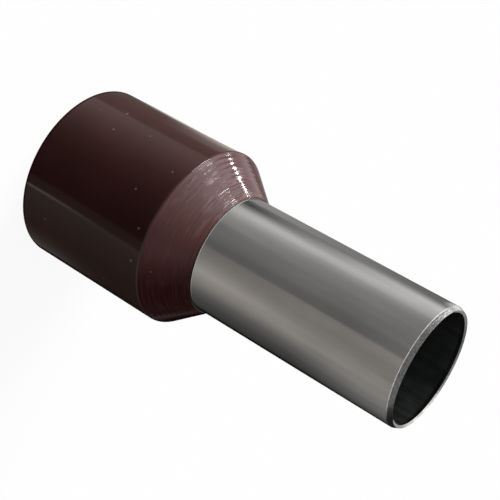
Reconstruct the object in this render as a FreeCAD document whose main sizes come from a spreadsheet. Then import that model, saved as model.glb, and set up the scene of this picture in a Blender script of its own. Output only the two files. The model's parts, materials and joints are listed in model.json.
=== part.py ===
import FreeCAD, Part
import math
import os
import Sketcher

# Insulated wire ferrule for a 35 square millimetre conductor, standing on its cable end.
# The origin is the middle of the collar's open end, +Z points up along the ferrule's axis to
# the sleeve's mouth. Lengths are in millimetres and angles in degrees.
SIZES = [
    ("sleeve_bore", 8.3, "inside diameter of the metal sleeve"),
    ("sleeve_wall", 0.2, "sheet thickness of the sleeve, the same in the barrel, mouth and funnel"),
    ("crimp_length", 16.3, "sleeve that stands out of the collar, from the lip to the mouth"),
    ("mouth_bend", 0.05, "inner radius of the bend that turns the mouth inwards"),
    ("mouth_lean", 25.0, "angle that the sheet turns through at the mouth"),
    ("mouth_edge", 0.32, "straight part of the sheet beyond the mouth's bend"),
    ("flare_bend", 0.15, "outer radius of the bend where the barrel opens into the funnel"),
    ("flare_angle", 33.0, "half angle of the funnel that guides the strands"),
    ("flare_show", 0.02, "straight part of the funnel that shows above the collar's lip"),
    ("funnel_depth", 1.9, "height of the funnel below its bend"),
    ("collar_bore", 12.7, "inside diameter of the collar, which takes the cable's insulation"),
    ("collar_wall", 0.3, "wall of the collar's straight part"),
    ("entry_length", 11.2, "straight part of the collar, from the cable end to the shoulder"),
    ("cone_length", 2.8, "height of the collar's cone, from the shoulder to the lip"),
    ("lip_wall", 0.07, "thickness of the collar at its thin lip"),
    ("seat_clearance", 0.01, "radial gap between the funnel and the collar's inner cone"),
    ("shoulder_round", 0.2, "radius of the outer edge between the straight part and the cone"),
    ("throat_round", 0.5, "radius inside the collar where the bore meets the inner cone"),
    ("entry_bevel", 0.08, "bevel of both edges at the cable end"),
]

# Heights and radii that both pieces share: the collar's lip sits just below the sleeve's bend
LIP_HEIGHT = "Sizes.entry_length + Sizes.cone_length"
BARREL_RADIUS = "Sizes.sleeve_bore / 2 + Sizes.sleeve_wall"
FUNNEL_AT_LIP = "Sizes.flare_bend * (1 - cos(Sizes.flare_angle)) + Sizes.flare_show * tan(Sizes.flare_angle)"
SEAT_RADIUS = f"{BARREL_RADIUS} + {FUNNEL_AT_LIP} + Sizes.seat_clearance"
COLLAR_RADIUS = "Sizes.collar_bore / 2 + Sizes.collar_wall"

ORIGIN = (-1, 1)
HORIZONTAL_AXIS = -1
START, END, CENTRE = 1, 2, 3
SAME_PLACE = 1e-6


def make_sheet(doc):
    sheet = doc.addObject("Spreadsheet::Sheet", "Sizes")
    for row, (alias, value, meaning) in enumerate(SIZES, start=1):
        sheet.set(f"A{row}", alias)
        sheet.set(f"B{row}", str(value))
        sheet.setAlias(f"B{row}", alias)
        sheet.set(f"C{row}", meaning)
    doc.recompute()
    return sheet


def make_body(doc, name):
    body = doc.addObject("PartDesign::Body", name)
    body.Label = name
    return body


def half_section(body, name):
    """A sketch on the upright plane through the axis: its x is the radius, its y the height."""
    sketch = body.newObject("Sketcher::SketchObject", name)
    planes = [item for item in body.Origin.OriginFeatures if item.Role == "XZ_Plane"]
    sketch.AttachmentSupport = [(planes[0], "")]
    sketch.MapMode = "FlatFace"
    return sketch


def line(sketch, start, end):
    first = FreeCAD.Vector(start[0], start[1], 0)
    last = FreeCAD.Vector(end[0], end[1], 0)
    return sketch.addGeometry(Part.LineSegment(first, last), False)


def arc(sketch, centre, radius, from_degrees, to_degrees):
    circle = Part.Circle(FreeCAD.Vector(centre[0], centre[1], 0), FreeCAD.Vector(0, 0, 1), radius)
    span = Part.ArcOfCircle(circle, math.radians(from_degrees), math.radians(to_degrees))
    return sketch.addGeometry(span, False)


def join(sketch, kind, first, second):
    """Joins the ends of two edges: Coincident leaves a corner, Tangent runs smoothly."""
    sketch.addConstraint(Sketcher.Constraint(kind, first[0], first[1], second[0], second[1]))


def measure(sketch, name, kind, items, value, formula):
    """Adds a named dimension and binds it to the sheet."""
    index = sketch.addConstraint(Sketcher.Constraint(kind, *items, value))
    sketch.renameConstraint(index, name)
    sketch.setExpression(f"Constraints.{name}", formula)


def turn(body, sketch, name):
    """Turns a half section once round the axis."""
    feature = body.newObject("PartDesign::Revolution", name)
    feature.Profile = sketch
    feature.ReferenceAxis = (sketch, ["V_Axis"])
    feature.Angle = 360.0
    sketch.Visibility = False
    return feature


def make_sleeve(doc, sheet):
    """One turn of thin sheet: funnel, bend, straight barrel and a mouth that leans inwards."""
    wall = sheet.sleeve_wall
    radius = sheet.sleeve_bore / 2 + wall
    lip = sheet.entry_length + sheet.cone_length
    bend, mouth_bend = sheet.flare_bend, sheet.mouth_bend + wall
    lean, sweep = math.radians(sheet.flare_angle), math.radians(sheet.mouth_lean)
    bend_centre = (radius + bend, lip + sheet.flare_show + bend * math.sin(lean))
    mouth_rise = mouth_bend * math.sin(sweep) + sheet.mouth_edge * math.cos(sweep)
    mouth_centre = (radius - mouth_bend, lip + sheet.crimp_length - mouth_rise)
    funnel_top = (bend_centre[0] - bend * math.cos(lean), bend_centre[1] - bend * math.sin(lean))
    funnel_end = (funnel_top[0] + sheet.funnel_depth * math.tan(lean), funnel_top[1] - sheet.funnel_depth)
    across = (-wall * math.cos(lean), -wall * math.sin(lean))
    mouth_start = (mouth_centre[0] + mouth_bend * math.cos(sweep),
                   mouth_centre[1] + mouth_bend * math.sin(sweep))
    mouth_end = (mouth_start[0] - sheet.mouth_edge * math.sin(sweep), lip + sheet.crimp_length)
    inwards = (-wall * math.cos(sweep), -wall * math.sin(sweep))

    body = make_body(doc, "sleeve")
    sketch = half_section(body, "sleeve_section")
    barrel = line(sketch, (radius, bend_centre[1]), (radius, mouth_centre[1]))
    turned_in = arc(sketch, mouth_centre, mouth_bend, 0, sheet.mouth_lean)
    mouth = line(sketch, mouth_start, mouth_end)
    rim = line(sketch, mouth_end, (mouth_end[0] + inwards[0], mouth_end[1] + inwards[1]))
    mouth_inside = line(
        sketch,
        (mouth_end[0] + inwards[0], mouth_end[1] + inwards[1]),
        (mouth_start[0] + inwards[0], mouth_start[1] + inwards[1]),
    )
    turned_inside = arc(sketch, mouth_centre, mouth_bend - wall, 0, sheet.mouth_lean)
    bore = line(sketch, (radius - wall, mouth_centre[1]), (radius - wall, bend_centre[1]))
    bent_inside = arc(sketch, bend_centre, bend + wall, 180, 180 + sheet.flare_angle)
    funnel_inside = line(
        sketch,
        (funnel_top[0] + across[0], funnel_top[1] + across[1]),
        (funnel_end[0] + across[0], funnel_end[1] + across[1]),
    )
    funnel_edge = line(sketch, (funnel_end[0] + across[0], funnel_end[1] + across[1]), funnel_end)
    funnel = line(sketch, funnel_end, funnel_top)
    bent = arc(sketch, bend_centre, bend, 180, 180 + sheet.flare_angle)

    join(sketch, "Tangent", (barrel, END), (turned_in, START))
    join(sketch, "Tangent", (turned_in, END), (mouth, START))
    join(sketch, "Coincident", (mouth, END), (rim, START))
    join(sketch, "Coincident", (rim, END), (mouth_inside, START))
    join(sketch, "Tangent", (mouth_inside, END), (turned_inside, END))
    join(sketch, "Tangent", (turned_inside, START), (bore, START))
    join(sketch, "Tangent", (bore, END), (bent_inside, START))
    join(sketch, "Tangent", (bent_inside, END), (funnel_inside, START))
    join(sketch, "Coincident", (funnel_inside, END), (funnel_edge, START))
    join(sketch, "Coincident", (funnel_edge, END), (funnel, START))
    join(sketch, "Tangent", (funnel, END), (bent, END))
    join(sketch, "Tangent", (bent, START), (barrel, START))
    join(sketch, "Coincident", (turned_in, CENTRE), (turned_inside, CENTRE))
    join(sketch, "Coincident", (bent, CENTRE), (bent_inside, CENTRE))
    sketch.addConstraint(Sketcher.Constraint("Vertical", barrel))
    sketch.addConstraint(Sketcher.Constraint("Vertical", bore))
    sketch.addConstraint(Sketcher.Constraint("Parallel", mouth_inside, mouth))
    sketch.addConstraint(Sketcher.Constraint("Perpendicular", rim, mouth))
    sketch.addConstraint(Sketcher.Constraint("Parallel", funnel_inside, funnel))
    sketch.addConstraint(Sketcher.Constraint("Perpendicular", funnel_edge, funnel))

    measure(sketch, "barrel_radius", "DistanceX", (*ORIGIN, barrel, START), radius, BARREL_RADIUS)
    measure(sketch, "bore_radius", "DistanceX", (*ORIGIN, bore, START), radius - wall,
            "Sizes.sleeve_bore / 2")
    measure(sketch, "mouth_height", "DistanceY", (*ORIGIN, mouth, END), lip + sheet.crimp_length,
            LIP_HEIGHT + " + Sizes.crimp_length")
    measure(sketch, "mouth_radius", "Radius", (turned_in,), mouth_bend, "Sizes.mouth_bend + Sizes.sleeve_wall")
    measure(sketch, "mouth_angle", "Angle", (turned_in,), sweep, "Sizes.mouth_lean")
    measure(sketch, "edge_length", "Distance", (mouth,), sheet.mouth_edge, "Sizes.mouth_edge")
    measure(sketch, "bend_radius", "Radius", (bent,), bend, "Sizes.flare_bend")
    measure(sketch, "bend_angle", "Angle", (bent,), lean, "Sizes.flare_angle")
    measure(sketch, "bend_height", "DistanceY", (*ORIGIN, bent, END), funnel_top[1],
            LIP_HEIGHT + " + Sizes.flare_show")
    measure(sketch, "funnel_height", "DistanceY", (funnel, START, funnel, END), sheet.funnel_depth,
            "Sizes.funnel_depth")
    turn(body, sketch, "sleeve_turned")
    return body


def ring_edges(feature, rings):
    """Names of the feature's round edges that have one of the given radii and heights."""
    names = []
    for number, edge in enumerate(feature.Shape.Edges, start=1):
        if not isinstance(edge.Curve, Part.Circle):
            continue
        for radius, height in rings:
            same_size = abs(edge.Curve.Radius - radius) < SAME_PLACE
            same_height = abs(edge.Curve.Center.z - height) < SAME_PLACE
            if same_size and same_height:
                names.append(f"Edge{number}")
    return names


def bevel_rings(body, base, name, rings, formula):
    """Bevels the ring edges of a turned feature by a size from the sheet."""
    body.Document.recompute()
    bevel = body.newObject("PartDesign::Chamfer", name)
    bevel.Base = (base, ring_edges(base, rings))
    bevel.setExpression("Size", formula)
    return bevel


def collar_side(sketch, radius, corner, lip_radius, lip, rounding):
    """One side of the collar's wall, going up: upright, tangent arc, cone. Also the sharp corner."""
    lean = math.atan2(radius - lip_radius, lip - corner)
    centre = (radius - rounding, corner - rounding * math.tan(lean / 2))
    cone_start = (centre[0] + rounding * math.cos(lean), centre[1] + rounding * math.sin(lean))
    upright = line(sketch, (radius, 0), (radius, centre[1]))
    bend = arc(sketch, centre, rounding, 0, math.degrees(lean))
    cone = line(sketch, cone_start, (lip_radius, lip))
    sharp = sketch.addGeometry(Part.Point(FreeCAD.Vector(radius, corner, 0)), True)
    join(sketch, "Tangent", (upright, END), (bend, START))
    join(sketch, "Tangent", (bend, END), (cone, START))
    sketch.addConstraint(Sketcher.Constraint("Vertical", upright))
    sketch.addConstraint(Sketcher.Constraint("PointOnObject", sharp, START, upright))
    sketch.addConstraint(Sketcher.Constraint("PointOnObject", sharp, START, cone))
    return upright, bend, cone, sharp


def make_collar(doc, sheet):
    """The moulded collar: straight cable end, shoulder, cone and a thin lip on the funnel."""
    lean = math.radians(sheet.flare_angle)
    inner, outer = sheet.collar_bore / 2, sheet.collar_bore / 2 + sheet.collar_wall
    shoulder, lip = sheet.entry_length, sheet.entry_length + sheet.cone_length
    seat = sheet.sleeve_bore / 2 + sheet.sleeve_wall + sheet.flare_bend * (1 - math.cos(lean))
    seat += sheet.flare_show * math.tan(lean) + sheet.seat_clearance
    brim = seat + sheet.lip_wall
    throat = lip - (inner - seat) / math.tan(lean)

    body = make_body(doc, "collar")
    sketch = half_section(body, "collar_section")
    outside, shoulder_bend, cone, shoulder_point = collar_side(
        sketch, outer, shoulder, brim, lip, sheet.shoulder_round)
    bore, throat_bend, seat_cone, throat_point = collar_side(
        sketch, inner, throat, seat, lip, sheet.throat_round)
    end_face = line(sketch, (inner, 0), (outer, 0))
    lip_edge = line(sketch, (brim, lip), (seat, lip))
    join(sketch, "Coincident", (bore, START), (end_face, START))
    join(sketch, "Coincident", (end_face, END), (outside, START))
    join(sketch, "Coincident", (cone, END), (lip_edge, START))
    join(sketch, "Coincident", (lip_edge, END), (seat_cone, END))
    sketch.addConstraint(Sketcher.Constraint("Horizontal", end_face))
    sketch.addConstraint(Sketcher.Constraint("Horizontal", lip_edge))
    sketch.addConstraint(Sketcher.Constraint("PointOnObject", end_face, START, HORIZONTAL_AXIS))

    measure(sketch, "bore_radius", "DistanceX", (*ORIGIN, bore, START), inner, "Sizes.collar_bore / 2")
    measure(sketch, "outer_radius", "DistanceX", (*ORIGIN, outside, START), outer, COLLAR_RADIUS)
    measure(sketch, "seat_radius", "DistanceX", (*ORIGIN, lip_edge, END), seat, SEAT_RADIUS)
    measure(sketch, "brim_radius", "DistanceX", (*ORIGIN, lip_edge, START), brim,
            SEAT_RADIUS + " + Sizes.lip_wall")
    measure(sketch, "lip_height", "DistanceY", (*ORIGIN, lip_edge, START), lip, LIP_HEIGHT)
    measure(sketch, "shoulder_height", "DistanceY", (*ORIGIN, shoulder_point, START), shoulder,
            "Sizes.entry_length")
    measure(sketch, "throat_height", "DistanceY", (*ORIGIN, throat_point, START), throat,
            f"{LIP_HEIGHT} - (Sizes.collar_bore / 2 - ({SEAT_RADIUS})) / tan(Sizes.flare_angle)")
    measure(sketch, "shoulder_radius", "Radius", (shoulder_bend,), sheet.shoulder_round,
            "Sizes.shoulder_round")
    measure(sketch, "throat_radius", "Radius", (throat_bend,), sheet.throat_round, "Sizes.throat_round")

    turned = turn(body, sketch, "collar_turned")
    bevel_rings(body, turned, "entry_edges", [(inner, 0), (outer, 0)], "Sizes.entry_bevel")
    return body


def check(doc, pieces):
    for item in doc.Objects:
        bad = [state for state in item.State if state in ("Invalid", "Error")]
        if bad:
            raise RuntimeError(f"{item.Label}: {bad}")
    for piece in pieces:
        if piece.Shape.isNull() or not piece.Shape.isValid():
            raise RuntimeError(f"{piece.Label} has no valid shape")
        if len(piece.Shape.Solids) != 1:
            raise RuntimeError(f"{piece.Label} is not one solid")


doc = FreeCAD.newDocument("wire_ferrule")
sheet = make_sheet(doc)
pieces = [make_sleeve(doc, sheet), make_collar(doc, sheet)]
doc.recompute()
check(doc, pieces)
os.makedirs("parts", exist_ok=True)
for piece in pieces:
    piece.Shape.exportStep(f"parts/{piece.Label}.step")
    print(f"{piece.Label}: {piece.Shape.Volume:.2f} cubic millimetres, {len(piece.Shape.Faces)} faces")
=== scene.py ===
import json
import math
import random

import bpy
from mathutils import Matrix, Vector


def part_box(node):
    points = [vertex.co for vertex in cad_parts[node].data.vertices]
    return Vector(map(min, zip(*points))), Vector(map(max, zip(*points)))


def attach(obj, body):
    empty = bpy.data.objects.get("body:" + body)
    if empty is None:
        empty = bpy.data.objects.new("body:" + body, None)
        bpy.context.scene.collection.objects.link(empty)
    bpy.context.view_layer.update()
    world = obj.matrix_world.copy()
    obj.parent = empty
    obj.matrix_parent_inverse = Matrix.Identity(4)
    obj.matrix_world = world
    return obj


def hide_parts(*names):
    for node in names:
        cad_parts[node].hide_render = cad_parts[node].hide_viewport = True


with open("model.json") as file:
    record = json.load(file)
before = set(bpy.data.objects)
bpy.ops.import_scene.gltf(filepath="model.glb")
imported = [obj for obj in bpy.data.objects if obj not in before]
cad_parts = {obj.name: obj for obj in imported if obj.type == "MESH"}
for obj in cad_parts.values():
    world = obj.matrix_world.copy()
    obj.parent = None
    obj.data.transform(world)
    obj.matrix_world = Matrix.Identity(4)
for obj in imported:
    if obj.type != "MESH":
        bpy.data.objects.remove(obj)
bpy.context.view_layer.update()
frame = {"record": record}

MM = 0.001
FULL_TURN = 2 * math.pi

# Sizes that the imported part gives
mounts = {mount["name"]: mount for mount in frame["record"]["mounts"]}
sleeve_low, sleeve_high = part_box("sleeve")
collar_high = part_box("collar")[1]
BARREL_RADIUS = mounts["crimp_barrel"]["dims"]["r_mm"] * MM
BORE_RADIUS = mounts["conductor_bore"]["dims"]["r_mm"] * MM
ENTRY_RADIUS = mounts["cable_entry"]["dims"]["r_mm"] * MM
MOUTH_HEIGHT = sleeve_high.z
FUNNEL_FOOT = sleeve_low.z
LIP_HEIGHT = collar_high.z
COLLAR_RADIUS = collar_high.x

# Sizes of the formed edges
SHEET = BARREL_RADIUS - BORE_RADIUS
FUNNEL_LEAN = math.radians(33)
FUNNEL_BEND = 0.15 * MM
FUNNEL_SHOW = 0.02 * MM
MOUTH_BEND = 0.05 * MM
MOUTH_LEAN = math.radians(25)
MOUTH_EDGE = 0.32 * MM
CONE_HEIGHT = 2.8 * MM
SHOULDER_HEIGHT = LIP_HEIGHT - CONE_HEIGHT
SHOULDER_ROUND = 0.2 * MM
THROAT_ROUND = 0.5 * MM
ENTRY_ROUND = 0.08 * MM
SEAT_CLEARANCE = 0.01 * MM
LIP_WALL = 0.07 * MM
LIP_ROUND = LIP_WALL / 3

# Where the sleeve's bright outside starts, with the bore's painted shade below it as a painted shadow at
# the lip, and how much the normals of its cut edge point up
JOINT_SHADE_TOP = LIP_HEIGHT + 0.04 * MM
EDGE_UPWARD = 0.5

# Fineness of the turned shapes
WALL_STEPS = 256
ARC_STEPS = 7
BARREL_STEPS = 24
MOUTH_STEPS = 4
CABLE_END_STEPS = 14
FOOT_STEPS = 4
LIP_STEPS = 3
DOME_STEPS = 16
SMOOTH_BELOW = math.radians(32)

# Turned rings on the cone: wide and shallow at first, narrow and deeper near the lip
WIDE_RING = (0.28 * MM, 0.44 * MM)
WIDE_RING_DEPTH = (0.0016 * MM, 0.0034 * MM)
NARROW_RING = (0.13 * MM, 0.25 * MM)
NARROW_RING_DEPTH = (0.0025 * MM, 0.0065 * MM)
NARROW_FROM = 0.62
RING_STEPS = 6
RING_SEED = 35

# Colours and relief of the finishes
TIN_DARK = (0.48, 0.475, 0.46, 1)
TIN_PALE = (0.62, 0.61, 0.595, 1)
# The bore's colours are painted shade of the tube's inside
BORE_SHADE_DARK = (0.016, 0.018, 0.018, 1)
BORE_SHADE_PALE = (0.115, 0.119, 0.122, 1)
CUT_DARK = (0.36, 0.36, 0.35, 1)
CUT_PALE = (0.62, 0.615, 0.60, 1)
BROWN_DARK = (0.076, 0.016, 0.012, 1)
BROWN_PALE = (0.094, 0.020, 0.015, 1)
# The cone's plastic is painted paler than the collar's as a painted sheen; the scuff colour is painted
# sheen as well
CONE_SHEEN_DARK = (0.102, 0.021, 0.017, 1)
CONE_SHEEN_PALE = (0.126, 0.028, 0.023, 1)
SCUFF_SHEEN_COLOUR = (0.28, 0.16, 0.155, 1)
DUST_COLOUR = (0.36, 0.31, 0.29, 1)
PLASTIC_IOR = 1.5
FINE_RELIEF = 0.01 * MM
SOFT_RELIEF = 0.02 * MM

# Where a finish changes across the piece, from the right to the left: the bore's painted light and shade,
# and the cone's scuffs with their painted sheen
BORE_LIGHT_CHANGE = (3 * MM, -3 * MM)
SCUFF_SHEEN_CHANGE = (1.0 * MM, -4.5 * MM)

# The streaks' length for one radian round the cone: short, so that they are drawn out
STREAK_TURN = 1.1 * MM

# The camera of the photograph
AIM = Vector((-0.956, 0, 14.978)) * MM
CAMERA_DISTANCE = 78.29 * MM
CAMERA_ELEVATION = math.radians(27.841)
CAMERA_ROLL = math.radians(119.503)
LENS = 81.834
CLIP_START = 1 * MM
CLIP_END = 10

# Levels of the studio
FLOOR_SIZE = 2.0
FLOOR_GREY = 0.8
FLOOR_WHITE = 0.88
FLOOR_GLOW = 1.06
ROOM_LIGHT = 0.118
KEY_LEVEL = 0.78
KEY_AZIMUTH = math.radians(178)
KEY_ELEVATION = math.radians(40)
KEY_SOFTNESS = math.radians(35)

# Small lamps: name, azimuth and elevation in degrees, width, height and level
SPARK_AIM = Vector((0, 0, 12.6)) * MM
SPARK_DISTANCE = 300 * MM
SPARKS = [
    ("spark_chain", 151.5, 13.2, 15 * MM, 15 * MM, 110),
    ("spark_dashes", 186, 20, 80 * MM, 18 * MM, 50),
    ("spark_fan", 199, 25, 80 * MM, 16 * MM, 18),
]

# The card tent round the piece, which only shows in reflections
CARD_START = 0.2 * MM
CARD_HEIGHT = 0.03 * MM
NEAR_CARD_END = 25.5 * MM
FAR_CARD_END = 140 * MM
TENT_RADIUS = 400 * MM
TENT_CENTRE = 20 * MM
DOME_END = math.radians(88.2)
BACK = math.radians(90)
MIRROR_ROUNDS = 3

# Tints of the cards' light
NEAR_TINT = (1.0, 0.965, 0.92, 1)
FRONT_TINT = (1.0, 0.945, 0.905, 1)

# The front reflection on the collar: its lean up to the shoulder in degrees, and the dark foot under it, a
# painted contact shadow
FRONT_LEAN = 2.1
PAINTED_FOOT_SHADOW = 0.25 * MM

# How far out the glow of the far card sets in
GLOW_START = (91 * MM, 97 * MM)

# The strip of the tent at eye level, in degrees: its height, from which turn it is lower, and its soft edge
STRIP_HEIGHT = (7.5, 2.5)
STRIP_TURN = (0, 30)
STRIP_EDGE = (-1.5, 1.5)

# The border between the tent's dim and bright parts, in degrees: height, middle, bow and soft edge
BORDER_HEIGHT = 38
BORDER_MIDDLE = -91
BORDER_BOW = 0.636
BORDER_EDGE = (-1.0, 1.0)


class Wire:
    """One output of a node. Python's operators on it add Math nodes."""

    def __init__(self, nodes, socket):
        self.nodes = nodes
        self.socket = socket

    def maths(self, operation, *others):
        return self.nodes.maths(operation, self, *others)

    def __add__(self, other):
        return self.maths("ADD", other)

    __radd__ = __add__

    def __mul__(self, other):
        return self.maths("MULTIPLY", other)

    __rmul__ = __mul__

    def __sub__(self, other):
        return self.maths("SUBTRACT", other)

    def __rsub__(self, other):
        return self.nodes.maths("SUBTRACT", other, self)

    def __truediv__(self, other):
        return self.maths("DIVIDE", other)

    def __rtruediv__(self, other):
        return self.nodes.maths("DIVIDE", other, self)

    def __lt__(self, other):
        return self.maths("LESS_THAN", other)

    def __gt__(self, other):
        return self.maths("GREATER_THAN", other)

    def clamped(self):
        return self.maths("MINIMUM", 1.0).maths("MAXIMUM", 0.0)

    def mixed(self, first, second):
        """Goes from first to second while this goes from 0 to 1."""
        return first + (second - first) * self


class Nodes:
    """The node tree of one material or of the world."""

    def __init__(self, owner):
        self.owner = owner
        owner.use_nodes = True
        self.tree = owner.node_tree
        self.tree.nodes.clear()

    def add(self, kind, settings=None, inputs=None, output=0):
        """Adds a node: first its settings, then the values or links of its sockets."""
        node = self.tree.nodes.new(kind)
        for name, value in (settings or {}).items():
            if name == "stops":
                self.set_stops(node.color_ramp, value)
            else:
                setattr(node, name, value)
        for name, value in (inputs or {}).items():
            if isinstance(value, Wire):
                self.tree.links.new(value.socket, node.inputs[name])
            else:
                node.inputs[name].default_value = value
        return Wire(self, node.outputs[output]) if node.outputs else node

    def set_stops(self, ramp, stops):
        """A ramp of greys, from (position, level) stops."""
        while len(ramp.elements) < len(stops):
            ramp.elements.new(1.0)
        for element, (position, level) in zip(ramp.elements, stops):
            element.position = position
            element.color = grey(level)

    def maths(self, operation, *values):
        """A Math node on wires and numbers."""
        return self.add("ShaderNodeMath", {"operation": operation}, dict(enumerate(values)))

    def place(self):
        return self.add("ShaderNodeTexCoord", output="Object")

    def along(self, vector, axis):
        return self.add("ShaderNodeSeparateXYZ", inputs={"Vector": vector}, output=axis)

    def stretched(self, vector, scales):
        settings = {"operation": "MULTIPLY"}
        return self.add("ShaderNodeVectorMath", settings, {0: vector, 1: scales})

    def noise(self, vector, scale, detail):
        values = {"Vector": vector, "Scale": scale, "Detail": detail, "Roughness": 0.5}
        return self.add("ShaderNodeTexNoise", inputs=values)

    def fade(self, value, start, end, low=0.0, high=1.0):
        """Goes smoothly from low to high while the value goes from start to end."""
        values = {"Value": value, "From Min": start, "From Max": end, "To Min": low, "To Max": high}
        return self.add("ShaderNodeMapRange", {"interpolation_type": "SMOOTHSTEP"}, values)

    def spread(self, noise, low=0.0, high=1.0):
        """A noise, which keeps near its middle, spread out from low to high."""
        return self.fade(noise, 0.3, 0.7, low, high)

    def levels(self, value, stops):
        """A curve of light levels over an angle, through (degrees, level) stops."""
        low, high = stops[0][0], stops[-1][0]
        top = max(level for _, level in stops)
        greys = [((angle - low) / (high - low), level / top) for angle, level in stops]
        share = (value - low) / (high - low)
        return self.add("ShaderNodeValToRGB", {"stops": greys}, {"Fac": share}) * top

    def specks(self, vector, scale, size, share_bare):
        """1 on small specks, most of them tiny; the larger share_bare, the fewer there are."""
        cells = {"Vector": vector, "Scale": scale}
        closeness = self.add("ShaderNodeTexVoronoi", inputs=cells, output="Distance")
        chance = self.along(self.add("ShaderNodeTexVoronoi", inputs=cells, output="Color"), "X")
        return closeness < (chance - share_bare) * (size / (1 - share_bare))

    def blend(self, amount, first, second):
        """A colour between two others. A Mix node's colours are its sockets 6 and 7, and come out at 2."""
        values = {0: amount, 6: first, 7: second}
        return self.add("ShaderNodeMix", {"data_type": "RGBA"}, values, output=2)

    def bump(self, height, strength, relief):
        values = {"Strength": strength, "Distance": relief, "Height": height}
        return self.add("ShaderNodeBump", inputs=values)

    def solid(self, colour, roughness, normal, others):
        """The finish of a solid piece."""
        values = {"Base Color": colour, "Roughness": roughness, "Normal": normal, **others}
        return self.surface(self.add("ShaderNodeBsdfPrincipled", inputs=values))

    def surface(self, shader):
        self.add("ShaderNodeOutputMaterial", inputs={"Surface": shader})
        return self.owner


def new_finish(name):
    return Nodes(bpy.data.materials.new(name))


def grey(level):
    return (level, level, level, 1)


def tinned_outside():
    """Tin plate on the drawn tube: satin, with fine lines along the tube and a few darker smears."""
    nodes = new_finish("tinned_copper")
    place = nodes.place()
    lengthwise = nodes.stretched(place, (1, 1, 0.03))
    drawn_lines = nodes.noise(lengthwise, scale=5200, detail=4)
    wide_lines = nodes.noise(lengthwise, scale=1300, detail=2)
    smears = nodes.noise(nodes.stretched(place, (1, 1, 0.35)), scale=420, detail=3)
    tone = nodes.spread(smears) * 0.55 + nodes.spread(wide_lines) * 0.45
    colour = nodes.blend(tone, TIN_DARK, TIN_PALE)
    dull = nodes.fade(smears, 0.25, 0.75) * 0.05 + nodes.spread(drawn_lines) * 0.04
    lines = nodes.bump(drawn_lines, 0.18, FINE_RELIEF)
    return nodes.solid(colour, dull + 0.06, lines, {"Metallic": 1.0})


def painted_shade_metal():
    """The bore of the tube: dull metal painted dark as painted shade inside the tube, with faint drawing
    streaks, and painted paler to the left as painted light.
    """
    nodes = new_finish("bore_painted_shade")
    place = nodes.place()
    streaks = nodes.noise(nodes.stretched(place, (1, 1, 0.06)), scale=2600, detail=3)
    blotches = nodes.noise(place, scale=700, detail=2)
    mottle = nodes.fade(streaks * 0.6 + blotches * 0.4, 0.40, 0.70)
    # Painted light: the bore is painted paler towards the left
    painted_light_to_left = nodes.fade(nodes.along(place, "X"), *BORE_LIGHT_CHANGE)
    colour = nodes.blend(mottle * 0.4 + painted_light_to_left * 0.6, BORE_SHADE_DARK, BORE_SHADE_PALE)
    lines = nodes.bump(streaks, 0.25, SOFT_RELIEF)
    return nodes.solid(colour, blotches * 0.2 + 0.45, lines, {"Metallic": 0.6})


def cut_edge():
    """The turned-in mouth: slightly grainy where the tube was cut off."""
    nodes = new_finish("cut_mouth")
    place = nodes.place()
    grain = nodes.noise(place, scale=9000, detail=3)
    patches = nodes.noise(place, scale=2200, detail=2)
    tone = nodes.fade(grain * 0.6 + patches * 0.4, 0.35, 0.65)
    colour = nodes.blend(tone, CUT_DARK, CUT_PALE)
    bumps = nodes.bump(grain, 0.30, FINE_RELIEF)
    return nodes.solid(colour, grain * 0.12 + 0.05, bumps, {"Metallic": 1.0})


def brown_plastic():
    """Glossy dark maroon plastic, with soft clouds, pale dust specks and a few short scratches."""
    nodes = new_finish("brown_plastic")
    place = nodes.place()
    clouds = nodes.noise(place, scale=260, detail=3)
    skin = nodes.noise(place, scale=1500, detail=2)
    dust = nodes.specks(place, scale=1400, size=0.16, share_bare=0.79)
    drawn_out = nodes.stretched(place, (1.0, 0.7, 0.2))
    scratches = nodes.specks(drawn_out, scale=1100, size=0.09, share_bare=0.80)
    marks = dust.maths("MAXIMUM", scratches * 0.4)
    plain = nodes.blend(nodes.spread(clouds), BROWN_DARK, BROWN_PALE)
    colour = nodes.blend(marks * 0.75, plain, DUST_COLOUR)
    roughness = nodes.spread(clouds, 0.06, 0.10) + marks * 0.3
    wave = nodes.bump(skin, 0.10, SOFT_RELIEF)
    return nodes.solid(colour, roughness, wave, {"IOR": PLASTIC_IOR})


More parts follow.
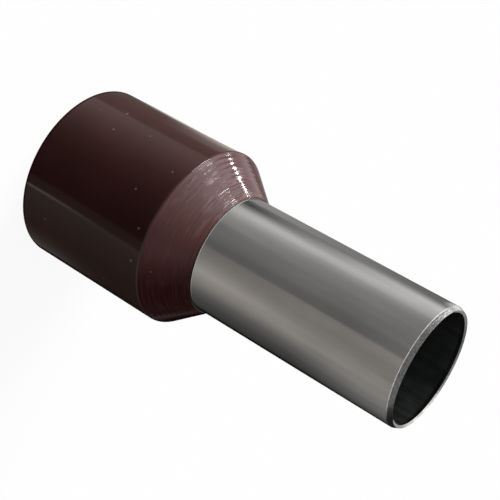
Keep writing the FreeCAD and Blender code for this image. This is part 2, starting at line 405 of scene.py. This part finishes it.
def turned_cone():
    """The same plastic on the cone, where turning left fine rings and short streaks; painted paler than the
    collar as a painted sheen, with scuffs that carry more painted sheen towards the left.
    """
    nodes = new_finish("turned_plastic_sheen")
    place = nodes.place()
    x = nodes.along(place, "X")
    y = nodes.along(place, "Y")
    z = nodes.along(place, "Z")
    radius = (x * x + y * y).maths("SQRT")
    round_way = y.maths("ARCTAN2", x) * STREAK_TURN
    ring_place = nodes.add("ShaderNodeCombineXYZ", inputs={"X": radius, "Y": round_way, "Z": z})
    rings = nodes.noise(ring_place, scale=6500, detail=3)
    streaks = nodes.noise(ring_place, scale=3800, detail=2)
    clouds = nodes.noise(place, scale=260, detail=3)
    patches = nodes.noise(place, scale=420, detail=2)
    # Painted sheen: the scuff streaks are weighted towards the left, where the light falls
    brush_and_sheen_mask = nodes.fade(x, *SCUFF_SHEEN_CHANGE) * nodes.fade(patches, 0.35, 0.6)
    scuffs_and_sheen = nodes.fade(streaks, 0.50, 0.72) * (brush_and_sheen_mask * 0.8 + 0.1)
    marks = nodes.specks(place, scale=1100, size=0.14, share_bare=0.84)
    # The cone's colours are paler than the collar's: a painted sheen
    plain = nodes.blend(nodes.spread(clouds), CONE_SHEEN_DARK, CONE_SHEEN_PALE)
    scuffed_and_sheened = nodes.blend(scuffs_and_sheen, plain, SCUFF_SHEEN_COLOUR)
    colour = nodes.blend(marks * 0.6, scuffed_and_sheened, DUST_COLOUR)
    roughness = nodes.spread(streaks, 0.07, 0.16) + marks * 0.3
    grooves = nodes.bump(rings * 0.6 + streaks * 0.4, brush_and_sheen_mask * 0.6 + 0.15, SOFT_RELIEF)
    return nodes.solid(colour, roughness, grooves, {"IOR": PLASTIC_IOR})


def arc(centre, radius, start, end, steps=ARC_STEPS):
    """Places on an arc of the section, from one angle to another, as (radius, height)."""
    places = []
    for step in range(steps + 1):
        angle = start + (end - start) * step / steps
        places.append((centre[0] + radius * math.cos(angle), centre[1] + radius * math.sin(angle)))
    return places


def straight(start, end, steps):
    """Places along a straight stretch of the section, without its two ends."""
    places = []
    for step in range(1, steps):
        share = step / steps
        places.append((start[0] + (end[0] - start[0]) * share, start[1] + (end[1] - start[1]) * share))
    return places


def raise_wall(name, section, closed=True):
    """Raises a round wall from a ring, one extruded ring for each place of the section."""
    bpy.ops.object.select_all(action="DESELECT")
    radius, height = section[0]
    bpy.ops.mesh.primitive_circle_add(vertices=WALL_STEPS, radius=radius, location=(0, 0, height))
    wall = bpy.context.object
    wall.name = name
    wall.data.name = name
    bpy.ops.object.transform_apply(location=True)
    bpy.ops.object.mode_set(mode="EDIT")
    bpy.ops.mesh.select_all(action="SELECT")
    for next_radius, next_height in section[1:]:
        bpy.ops.mesh.extrude_region_move(
            TRANSFORM_OT_translate={"value": (0, 0, next_height - height)})
        grow = next_radius / radius
        bpy.ops.transform.resize(value=(grow, grow, 1), center_override=(0, 0, next_height))
        radius, height = next_radius, next_height
    if closed:
        bpy.ops.mesh.select_all(action="DESELECT")
        bpy.ops.mesh.select_non_manifold()
        bpy.ops.mesh.bridge_edge_loops()
    bpy.ops.mesh.select_all(action="SELECT")
    bpy.ops.mesh.normals_make_consistent(inside=False)
    bpy.ops.object.mode_set(mode="OBJECT")
    bpy.ops.object.shade_smooth_by_angle(angle=SMOOTH_BELOW)
    return wall


def lay_finishes(piece, materials, choose):
    """Gives the piece its materials, one chosen for each face by its height and its normal."""
    piece.data.materials.clear()
    for material in materials:
        piece.data.materials.append(material)
    for face in piece.data.polygons:
        radius = math.hypot(face.center.x, face.center.y)
        outward = (face.normal.x * face.center.x + face.normal.y * face.center.y) / radius
        face.material_index = choose(face.center.z, outward, face.normal.z)


def join_frame(piece, node):
    """Puts the piece on the root body, and hides the solid of the imported part that it stands for."""
    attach(piece, "root")
    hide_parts(node)
    return piece


def make_sleeve():
    """One turn of thin sheet: funnel, bend, straight barrel and a mouth that leans inwards."""
    bend_centre = (BARREL_RADIUS + FUNNEL_BEND,
                   LIP_HEIGHT + FUNNEL_SHOW + FUNNEL_BEND * math.sin(FUNNEL_LEAN))
    outside_bend = arc(bend_centre, FUNNEL_BEND, math.pi + FUNNEL_LEAN, math.pi)
    inside_bend = arc(bend_centre, FUNNEL_BEND + SHEET, math.pi, math.pi + FUNNEL_LEAN)
    drop = inside_bend[-1][1] - FUNNEL_FOOT
    inner_foot = (inside_bend[-1][0] + drop * math.tan(FUNNEL_LEAN), FUNNEL_FOOT)
    outer_foot = (inner_foot[0] + SHEET * math.cos(FUNNEL_LEAN),
                  inner_foot[1] + SHEET * math.sin(FUNNEL_LEAN))

    outer_radius = MOUTH_BEND + SHEET
    rise = outer_radius * math.sin(MOUTH_LEAN) + MOUTH_EDGE * math.cos(MOUTH_LEAN)
    mouth_centre = (BARREL_RADIUS - outer_radius, MOUTH_HEIGHT - rise)
    outside_turn = arc(mouth_centre, outer_radius, 0, MOUTH_LEAN)
    inside_turn = arc(mouth_centre, MOUTH_BEND, MOUTH_LEAN, 0)
    leant = (-MOUTH_EDGE * math.sin(MOUTH_LEAN), MOUTH_EDGE * math.cos(MOUTH_LEAN))
    rim = (outside_turn[-1][0] + leant[0], outside_turn[-1][1] + leant[1])
    inner_rim = (inside_turn[0][0] + leant[0], inside_turn[0][1] + leant[1])

    section = [outer_foot] + outside_bend
    section += straight(outside_bend[-1], outside_turn[0], BARREL_STEPS)
    section += outside_turn + straight(outside_turn[-1], rim, MOUTH_STEPS) + [rim, inner_rim]
    section += straight(inner_rim, inside_turn[0], MOUTH_STEPS) + inside_turn
    section += straight(inside_turn[-1], inside_bend[0], BARREL_STEPS)
    section += inside_bend + [inner_foot]
    sleeve = raise_wall("tinned_sleeve", section)

    def choose(height, outward, upward):
        if height > mouth_centre[1] and (outward > 0 or upward > EDGE_UPWARD):
            return 2
        # Outward faces below this height get the bore's painted shade, a painted shadow where the funnel
        # meets the lip
        return 0 if outward > 0 and height > JOINT_SHADE_TOP else 1

    lay_finishes(sleeve, [tinned_outside(), painted_shade_metal(), cut_edge()], choose)
    return join_frame(sleeve, "sleeve")


def ringed(start, end):
    """The cone's outer side with its turned rings, no two of the same width and depth."""
    draw = random.Random(RING_SEED)
    length = math.hypot(end[0] - start[0], end[1] - start[1])
    along = ((end[0] - start[0]) / length, (end[1] - start[1]) / length)
    places = []
    done = 0.0
    while done < length:
        near_lip = done > NARROW_FROM * length
        width = min(draw.uniform(*(NARROW_RING if near_lip else WIDE_RING)), length - done)
        depth = draw.uniform(*(NARROW_RING_DEPTH if near_lip else WIDE_RING_DEPTH))
        for step in range(RING_STEPS):
            way = done + width * step / RING_STEPS
            sunk = depth * (0.5 - 0.5 * math.cos(FULL_TURN * step / RING_STEPS))
            places.append((start[0] + along[0] * way - along[1] * sunk,
                           start[1] + along[1] * way + along[0] * sunk))
        done += width
    return places


def round_corner(radius, height, lip_radius, rounding):
    """The round corner where a straight side of the collar goes over into the cone up to the lip."""
    lean = math.atan2(radius - lip_radius, LIP_HEIGHT - height)
    centre = (radius - rounding, height - rounding * math.tan(lean / 2))
    return arc(centre, rounding, 0, lean)


def make_collar():
    """The moulded collar: straight cable end, shoulder, ringed cone and a thin lip on the funnel."""
    seat = BARREL_RADIUS + FUNNEL_BEND * (1 - math.cos(FUNNEL_LEAN))
    seat += FUNNEL_SHOW * math.tan(FUNNEL_LEAN) + SEAT_CLEARANCE
    brim = seat + LIP_WALL
    throat = LIP_HEIGHT - (ENTRY_RADIUS - seat) / math.tan(FUNNEL_LEAN)
    shoulder = round_corner(COLLAR_RADIUS, SHOULDER_HEIGHT, brim, SHOULDER_ROUND)
    inner_bend = round_corner(ENTRY_RADIUS, throat, seat, THROAT_ROUND)
    foot_out = arc((COLLAR_RADIUS - ENTRY_ROUND, ENTRY_ROUND), ENTRY_ROUND,
                   -math.pi / 2, 0, FOOT_STEPS)
    foot_in = arc((ENTRY_RADIUS + ENTRY_ROUND, ENTRY_ROUND), ENTRY_ROUND,
                  math.pi, 1.5 * math.pi, FOOT_STEPS)

    section = foot_out + straight(foot_out[-1], shoulder[0], CABLE_END_STEPS)
    section += shoulder[:-1] + ringed(shoulder[-1], (brim, LIP_HEIGHT - LIP_ROUND))
    section += arc((brim - LIP_ROUND, LIP_HEIGHT - LIP_ROUND), LIP_ROUND, 0, math.pi / 2, LIP_STEPS)
    section += [(seat, LIP_HEIGHT)] + list(reversed(inner_bend))
    section += straight(inner_bend[0], foot_in[0], CABLE_END_STEPS) + foot_in
    collar = raise_wall("brown_collar", section)
    cone_foot = shoulder[-1][1]

    def choose(height, outward, _):
        return 1 if height > cone_foot and outward > 0 else 0

    lay_finishes(collar, [brown_plastic(), turned_cone()], choose)
    return join_frame(collar, "collar")


def background_rays(nodes):
    """1 for the rays that see the plain background: from the camera, a gloss or a glass."""
    seen = nodes.add("ShaderNodeLightPath", output="Is Camera Ray")
    for name in ("Is Glossy Ray", "Is Transmission Ray"):
        seen = seen.maths("MAXIMUM", nodes.add("ShaderNodeLightPath", output=name))
    return seen


def lay_floor():
    """A plain white floor that keeps a soft shadow of the ferrule."""
    bpy.ops.mesh.primitive_plane_add(size=FLOOR_SIZE, location=(0, 0, 0))
    floor = bpy.context.object
    floor.name = "floor"
    nodes = new_finish("white_floor")
    paper = nodes.add("ShaderNodeBsdfDiffuse", inputs={"Color": grey(FLOOR_GREY)})
    white = nodes.add("ShaderNodeEmission", inputs={"Color": grey(1.0), "Strength": FLOOR_GLOW})
    amount = background_rays(nodes) * FLOOR_WHITE
    shader = nodes.add("ShaderNodeMixShader", inputs={0: amount, 1: paper, 2: white})
    floor.data.materials.append(nodes.surface(shader))
    floor.visible_diffuse = False


def light_world():
    """White behind everything, and a dim even light on the piece."""
    world = bpy.data.worlds.new("studio")
    bpy.context.scene.world = world
    nodes = Nodes(world)
    strength = background_rays(nodes).mixed(ROOM_LIGHT, 1.0)
    sky = nodes.add("ShaderNodeBackground", inputs={"Color": grey(1.0), "Strength": strength})
    nodes.add("ShaderNodeOutputWorld", inputs={"Surface": sky})


def direction(azimuth, elevation):
    return Vector((math.cos(azimuth) * math.cos(elevation),
                   math.sin(azimuth) * math.cos(elevation), math.sin(elevation)))


def add_key():
    """One wide soft light from the left, above."""
    bpy.ops.object.light_add(type="SUN")
    key = bpy.context.object
    key.name = "key"
    key.data.energy = KEY_LEVEL * math.pi
    key.data.angle = KEY_SOFTNESS
    key.rotation_euler = direction(KEY_AZIMUTH, KEY_ELEVATION).to_track_quat("Z", "Y").to_euler()
    key.visible_glossy = False


def add_spark(collar, name, azimuth, elevation, width, height, level):
    """A small lamp that only shows as sparks on the collar's turned rings."""
    away = direction(math.radians(azimuth), math.radians(elevation))
    bpy.ops.object.light_add(type="AREA", location=SPARK_AIM + away * SPARK_DISTANCE)
    lamp = bpy.context.object
    lamp.name = name
    lamp.data.shape = "ELLIPSE"
    lamp.data.size = width
    lamp.data.size_y = height
    lamp.data.energy = level * math.pi * math.pi * width * height / 4
    lamp.rotation_euler = away.to_track_quat("Z", "Y").to_euler()
    lamp.visible_camera = False
    lamp.visible_diffuse = False
    lit = bpy.data.collections.new(name)
    lit.objects.link(collar)
    lamp.light_linking.receiver_collection = lit


def azimuth_of(nodes, across, along):
    """Azimuth of a way off, in radians: 90 degrees at the back, down to -270 going round by the front."""
    return nodes.maths("WRAP", along.maths("ARCTAN2", across), BACK, BACK - FULL_TURN)


def round_axis(nodes, place):
    """Azimuth in degrees of a place of the tent, and its distance from the axis."""
    x = nodes.along(place, "X")
    y = nodes.along(place, "Y")
    return azimuth_of(nodes, x, y) * math.degrees(1), (x * x + y * y).maths("SQRT")


def mirrored_place(nodes, place, radius):
    """Where on the round wall the camera sees this place of the card: turn in degrees, and height."""
    x = nodes.along(place, "X")
    y = nodes.along(place, "Y")
    azimuth = azimuth_of(nodes, x, y)
    closeness = (radius * radius / (x * x + y * y)).clamped()
    # The wall mirrors the card where it faces halfway between card and camera; each round comes nearer
    facing = (azimuth - BACK) * 0.5 + (azimuth + BACK) * 0.5 * closeness
    for _ in range(MIRROR_ROUNDS):
        wall_x = facing.maths("COSINE")
        wall_y = facing.maths("SINE")
        across = x - wall_x * radius
        along = y - wall_y * radius
        squared = across * across + along * along
        nearness = (wall_x * across + wall_y * along) * (radius / 2) / squared
        step = (azimuth_of(nodes, across, along) - BACK) * 0.5 - facing
        facing = facing + step / (nearness.maths("MAXIMUM", 0.0) + 1)
    away = squared.maths("SQRT")
    camera_height = AIM.z + CAMERA_DISTANCE * math.sin(CAMERA_ELEVATION)
    camera_away = CAMERA_DISTANCE * math.cos(CAMERA_ELEVATION) - radius
    height = away * camera_height / (away + camera_away)
    return facing * math.degrees(1), height


def near_card(nodes, place):
    """What the collar mirrors: two pale cards to the left and one in front, and dark at its foot as a
    painted contact shadow.
    """
    turn, height = mirrored_place(nodes, place, COLLAR_RADIUS)
    up = (height / SHOULDER_HEIGHT).clamped()
    leant = turn - up * FRONT_LEAN
    left = nodes.levels(turn, [
        (-180, 0.10), (-168, 0.12), (-160, 0.18), (-148, 0.25), (-140.2, 0.31), (-138.6, 0.62),
        (-132, 0.66), (-126, 0.55), (-118, 0.38), (-112, 0.25), (-104, 0.16), (-96, 0.09),
        (-84, 0.07), (-80, 0.05), (-60, 0.05), (0, 0.0)])
    front = nodes.levels(leant, [
        (-80, 0.0), (-73.8, 0.04), (-72.4, 0.14), (-67.2, 0.16), (-66.2, 0.33), (-65.2, 0.33),
        (-63.5, 0.27), (-60, 0.235), (-54, 0.175), (-44, 0.10), (-36, 0.065), (-28, 0.04),
        (-20, 0.02), (-14, 0.0), (0, 0.0)])
    edge_line = nodes.levels(leant, [
        (-80, 0.0), (-67.6, 0.0), (-66.4, 0.70), (-65.2, 0.0), (0, 0.0)])
    rim_glow = nodes.levels(turn, [
        (-180, 1.5), (-169.5, 1.5), (-167, 0.2), (-163, 0.0), (-150, 0.0)])
    side_glow = nodes.levels(turn, [
        (-180, 0.0), (-168, 0.0), (-165, 0.85), (-158, 0.36), (-152, 0.30), (-149.5, 0.05),
        (-140, 0.0)])
    right_glow = nodes.levels(turn, [
        (-40, 0.0), (-30, 0.06), (-22, 0.10), (-17, 0.10), (-15, 0.0)])
    # Where each light shows on the way up from the foot, 0, to the shoulder, 1
    front = front + edge_line * nodes.fade(up, 0.75, 0.1)
    glow = rim_glow * nodes.fade(up, 0.0, 0.85) + side_glow * nodes.fade(up, 0.4, 1.05)
    glow = glow + right_glow * nodes.fade(up, 0.8, 0.0)
    # Painted shadow: the card goes dark near the collar's foot, where a contact shadow would fall
    foot = nodes.fade(height, 0.0, PAINTED_FOOT_SHADOW)
    return (left.maths("MAXIMUM", front) + glow) * foot, NEAR_TINT


def far_card(nodes, place):
    """What the barrel mirrors, from lip to mouth: a bright panel, soft greys and dark to the right."""
    turn, height = mirrored_place(nodes, place, BARREL_RADIUS)
    up = ((height - LIP_HEIGHT) / (MOUTH_HEIGHT - LIP_HEIGHT)).clamped()
    at_lip = nodes.levels(turn, [
        (-180, 0.30), (-170, 0.36), (-164, 0.36), (-155.5, 0.42), (-153, 0.17), (-147, 0.05),
        (-143.5, 0.16), (-140, 0.38), (-136, 0.76), (-131, 0.75), (-128, 0.66), (-122, 0.44),
        (-116, 0.385), (-110, 0.285), (-104, 0.24), (-92, 0.185), (-88, 0.18), (-86, 0.25),
        (-80, 0.27), (-74, 0.35), (-68, 0.44), (-63.5, 0.53), (-56, 0.425), (-50, 0.30),
        (-44, 0.195), (-38, 0.13), (-32, 0.095), (-20, 0.055), (-12, 0.0), (0, 0.0)])
    at_mouth = nodes.levels(turn, [
        (-180, 0.10), (-170, 0.14), (-164, 0.17), (-157, 0.18), (-153, 0.36), (-147, 0.85),
        (-141, 0.90), (-134, 0.70), (-128, 0.42), (-122, 0.35), (-116, 0.31), (-110, 0.28),
        (-104, 0.24), (-98, 0.225), (-92, 0.185), (-88, 0.18), (-86, 0.33), (-80, 0.32),
        (-74, 0.28), (-68, 0.29), (-62, 0.35), (-56, 0.39), (-50, 0.395), (-44, 0.35),
        (-38, 0.295), (-32, 0.225), (-26, 0.175), (-20, 0.12), (-12, 0.03), (0, 0.0)])
    # To the right of the front the light changes late, near the mouth
    share = nodes.fade(turn, -62, -52).mixed(up, nodes.fade(up, 0.5, 1.0))
    # Between these turns, at the front, it is a little warm
    warmth = nodes.fade(turn, -90, -84) * nodes.fade(turn, -30, -55)
    azimuth, reach = round_axis(nodes, place)
    beyond = nodes.levels(azimuth, [
        (-270, 0.0), (-259, 0.35), (-250, 0.5), (-235, 0.8), (-222, 0.5), (-205, 0.0)])
    beyond = beyond * nodes.fade(reach, *GLOW_START)
    light = share.mixed(at_lip, at_mouth).maths("MAXIMUM", beyond)
    return light, nodes.blend(warmth, grey(1.0), FRONT_TINT)


def tent_wall(nodes, place):
    """What the cone and the mouth mirror: a strip at eye level, a dim zone, and a bright upper left."""
    azimuth, reach = round_axis(nodes, place)
    above = nodes.along(place, "Z") - TENT_CENTRE
    elevation = above.maths("ARCTAN2", reach) * math.degrees(1)
    strip = nodes.levels(azimuth, [
        (-270, 0.4), (-250, 0.6), (-242, 1.2), (-230, 1.15), (-219, 1.0), (-209, 0.85),
        (-203, 1.8), (-195, 2.2), (-180, 1.8), (-150, 1.35), (-110, 1.15), (-60, 1.05),
        (-30, 0.9), (10, 0.50), (25, 0.20), (36, 0.05), (44, 0.02), (75, 0.02), (90, 0.3)])
    dim = nodes.levels(azimuth, [
        (-270, 0.4), (-215, 0.9), (-205, 0.75), (-187, 0.52), (-172, 0.34), (-153, 0.25),
        (-60, 0.21), (-26, 0.22), (0, 0.19), (14, 0.08), (34, 0.03), (60, 0.03), (90, 0.25)])
    upper = nodes.levels(azimuth, [
        (-270, 0.40), (-262, 0.45), (-256, 0.6), (-250, 1.2), (-245, 1.8), (-241, 1.8),
        (-235, 1.3), (-219, 1.4), (-208, 2.2), (-195, 2.9), (-172, 2.8), (-155, 2.5),
        (-140, 1.7), (-125, 1.2), (-105, 0.83), (-85, 0.54), (-65, 0.39), (-45, 0.38),
        (-20, 0.14), (5, 0.025), (30, 0.01), (55, 0.02), (70, 0.35), (90, 0.40)])
    bow = (azimuth - BORDER_MIDDLE) * math.radians(BORDER_BOW)
    border = bow.maths("COSINE") * BORDER_HEIGHT
    raised = nodes.fade(elevation - border, *BORDER_EDGE).mixed(dim, upper)
    strip_top = nodes.fade(azimuth, *STRIP_TURN, *STRIP_HEIGHT)
    return nodes.fade(elevation - strip_top, *STRIP_EDGE).mixed(strip, raised), grey(1.0)


def tent_finish(name, light_of):
    """The glow of one part of the tent, from the function that gives its level and its colour."""
    nodes = new_finish(name)
    level, colour = light_of(nodes, nodes.place())
    return nodes.surface(nodes.add("ShaderNodeEmission", inputs={"Color": colour, "Strength": level}))


def hang_tent():
    """Two round cards just over the floor and a domed wall round them, seen in reflections only."""
    dome = arc((0, TENT_CENTRE), TENT_RADIUS, 0, DOME_END, DOME_STEPS)
    parts = [
        ("near_card", [(CARD_START, CARD_HEIGHT), (NEAR_CARD_END, CARD_HEIGHT)], near_card),
        ("far_card", [(NEAR_CARD_END, CARD_HEIGHT), (FAR_CARD_END, CARD_HEIGHT)], far_card),
        ("tent_wall", [(FAR_CARD_END, CARD_HEIGHT), (TENT_RADIUS, CARD_HEIGHT)] + dome, tent_wall),
    ]
    for name, section, light_of in parts:
        card = raise_wall(name, section, closed=False)
        card.data.materials.append(tent_finish(name, light_of))
        card.visible_camera = False
        card.visible_diffuse = False
        card.visible_shadow = False
        card.visible_transmission = False


def set_camera():
    """The camera of the photograph: in front of the ferrule, above it and rolled."""
    bpy.ops.object.camera_add()
    camera = bpy.context.object
    camera.name = "camera"
    tilt = Matrix.Rotation(math.pi / 2 - CAMERA_ELEVATION, 3, "X")
    turn = tilt @ Matrix.Rotation(CAMERA_ROLL, 3, "Z")
    back = turn @ Vector((0, 0, 1))
    camera.location = AIM + back * CAMERA_DISTANCE
    camera.rotation_euler = turn.to_euler()
    camera.data.lens = LENS
    camera.data.clip_start = CLIP_START
    camera.data.clip_end = CLIP_END
    bpy.context.scene.camera = camera


bpy.context.scene.view_settings.view_transform = "Standard"
set_camera()
make_sleeve()
collar_piece = make_collar()
lay_floor()
light_world()
add_key()
for spark in SPARKS:
    add_spark(collar_piece, *spark)
hang_tent()

bpy.context.view_layer.update()
